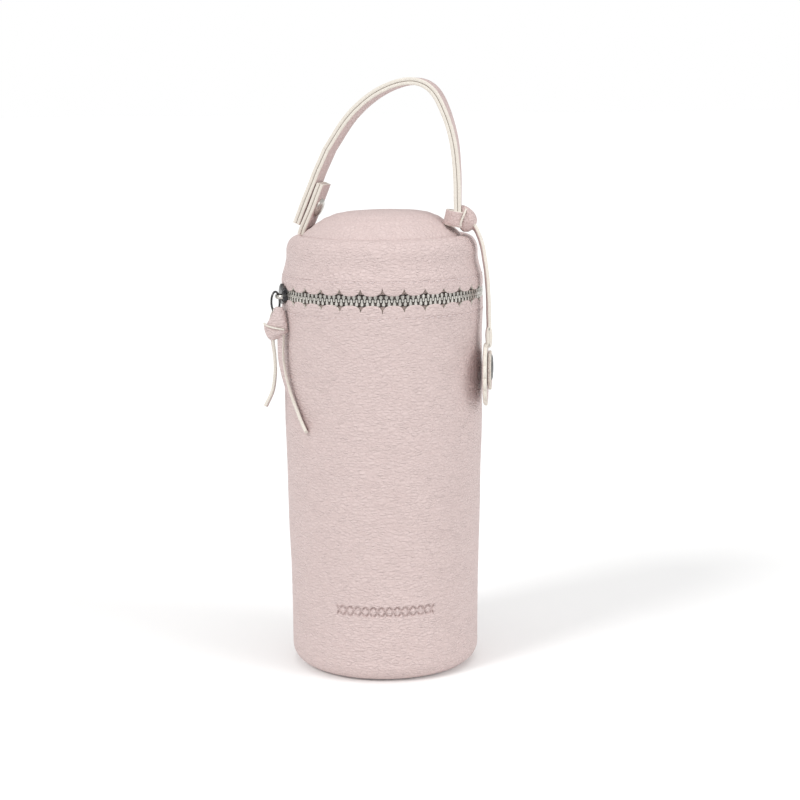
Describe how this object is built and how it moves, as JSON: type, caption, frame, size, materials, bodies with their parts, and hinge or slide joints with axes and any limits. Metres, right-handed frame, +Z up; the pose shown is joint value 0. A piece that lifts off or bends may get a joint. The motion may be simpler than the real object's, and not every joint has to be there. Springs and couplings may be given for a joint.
{
  "type": "insulated baby bottle case",
  "caption": "Padded cylindrical leatherette case for a baby bottle, with a zipped domed lid, a snap-off strap handle, a hanging charm and a leather zip pull.",
  "frame": {"origin": "centre of the flat base panel, on the surface that the case stands on", "axes": "+Z up along the case, -Y towards the front with the debossed motif, +X to the right where the charm hangs"},
  "size_m": [0.1113, 0.0968, 0.2836],
  "materials": {
    "leatherette": "pebbled, satin",
    "strap_leather": "pebbled faces with cream cut edges",
    "zip_tape": "woven",
    "nickel": "polished nickel",
    "dark_nickel": "satin",
    "foam": "closed-cell foam",
    "board": "stiffener board",
    "lining": "silvery insulating film on cloth"
  },
  "bodies": {
    "case": {"body_shell": "leatherette", "base_panel": "leatherette", "base_board": "board", "base_foam": "foam", "body_foam": "foam", "body_lining": "lining", "lower_scallop_trim": "leatherette", "lower_zip_tape": "zip_tape", "lower_zip_teeth": "nickel", "lower_zip_stop": "nickel", "hinge_flap": "leatherette", "hinge_lining": "zip_tape"},
    "lid": {"lid_band": "leatherette", "lid_top_panel": "leatherette", "lid_foam_band": "foam", "lid_foam_disc": "foam", "lid_lining": "lining", "upper_scallop_trim": "leatherette", "upper_zip_tape": "zip_tape", "upper_zip_teeth": "nickel", "upper_zip_stop": "nickel", "tab_outer": "strap_leather", "tab_inner": "strap_leather", "snap_cap": "nickel", "handle_knot": "leatherette"},
    "handle": {"strap_outer": "strap_leather", "strap_inner": "strap_leather"},
    "strap_end": {"strap_end_outer": "strap_leather", "strap_end_inner": "strap_leather", "snap_stud_backing": "nickel"},
    "charm": {"charm_strip": "strap_leather", "charm_fold": "strap_leather", "charm_large_disc": "leatherette", "charm_small_disc": "strap_leather", "charm_rivet": "dark_nickel"},
    "slider": {"slider_body": "nickel", "slider_bail": "nickel"},
    "puller": {"puller_ring": "nickel"},
    "pull": {"pull_loop": "leatherette", "pull_knot": "leatherette", "pull_tail_short": "strap_leather", "pull_tail_long": "strap_leather"}
  },
  "joints": [
    {"name": "lid_hinge", "type": "hinge", "parent": "case", "child": "lid", "pos_m": [0, 0.0484, 0.1824], "axis": [-1, 0, 0], "range_deg": [0, 100], "deforming": ["hinge_flap", "hinge_lining"]},
    {"name": "slider_travel", "type": "hinge", "parent": "case", "child": "slider", "pos_m": [0, 0, 0.1824], "axis": [0, 0, 1], "range_deg": [-62, 210], "deforming": ["charm_strip", "pull_tail_short", "pull_tail_long", "pull_knot", "pull_loop"]},
    {"name": "ring_swing", "type": "hinge", "parent": "slider", "child": "puller", "pos_m": [-0.05047, -0.01447, 0.1814], "axis": [-0.2756, 0.9613, 0], "range_deg": [0, 45]},
    {"name": "pull_swing", "type": "hinge", "parent": "puller", "child": "pull", "pos_m": [-0.05181, -0.01486, 0.1734], "axis": [-0.2756, 0.9613, 0], "range_deg": [0, 60]},
    {"name": "handle_swing", "type": "hinge", "parent": "lid", "child": "handle", "pos_m": [0.03883, -0.01187, 0.2222], "axis": [0.2924, 0.9563, 0], "range_deg": [0, 90]},
    {"name": "snap_peel", "type": "hinge", "parent": "handle", "child": "strap_end", "pos_m": [-0.03112, 0.00951, 0.24], "axis": [0.2924, 0.9563, 0], "range_deg": [0, 60]},
    {"name": "charm_swing", "type": "hinge", "parent": "lid", "child": "charm", "pos_m": [0.0456, -0.0146, 0.2114], "axis": [0, -1, 0], "range_deg": [0, 80]}
  ]
}
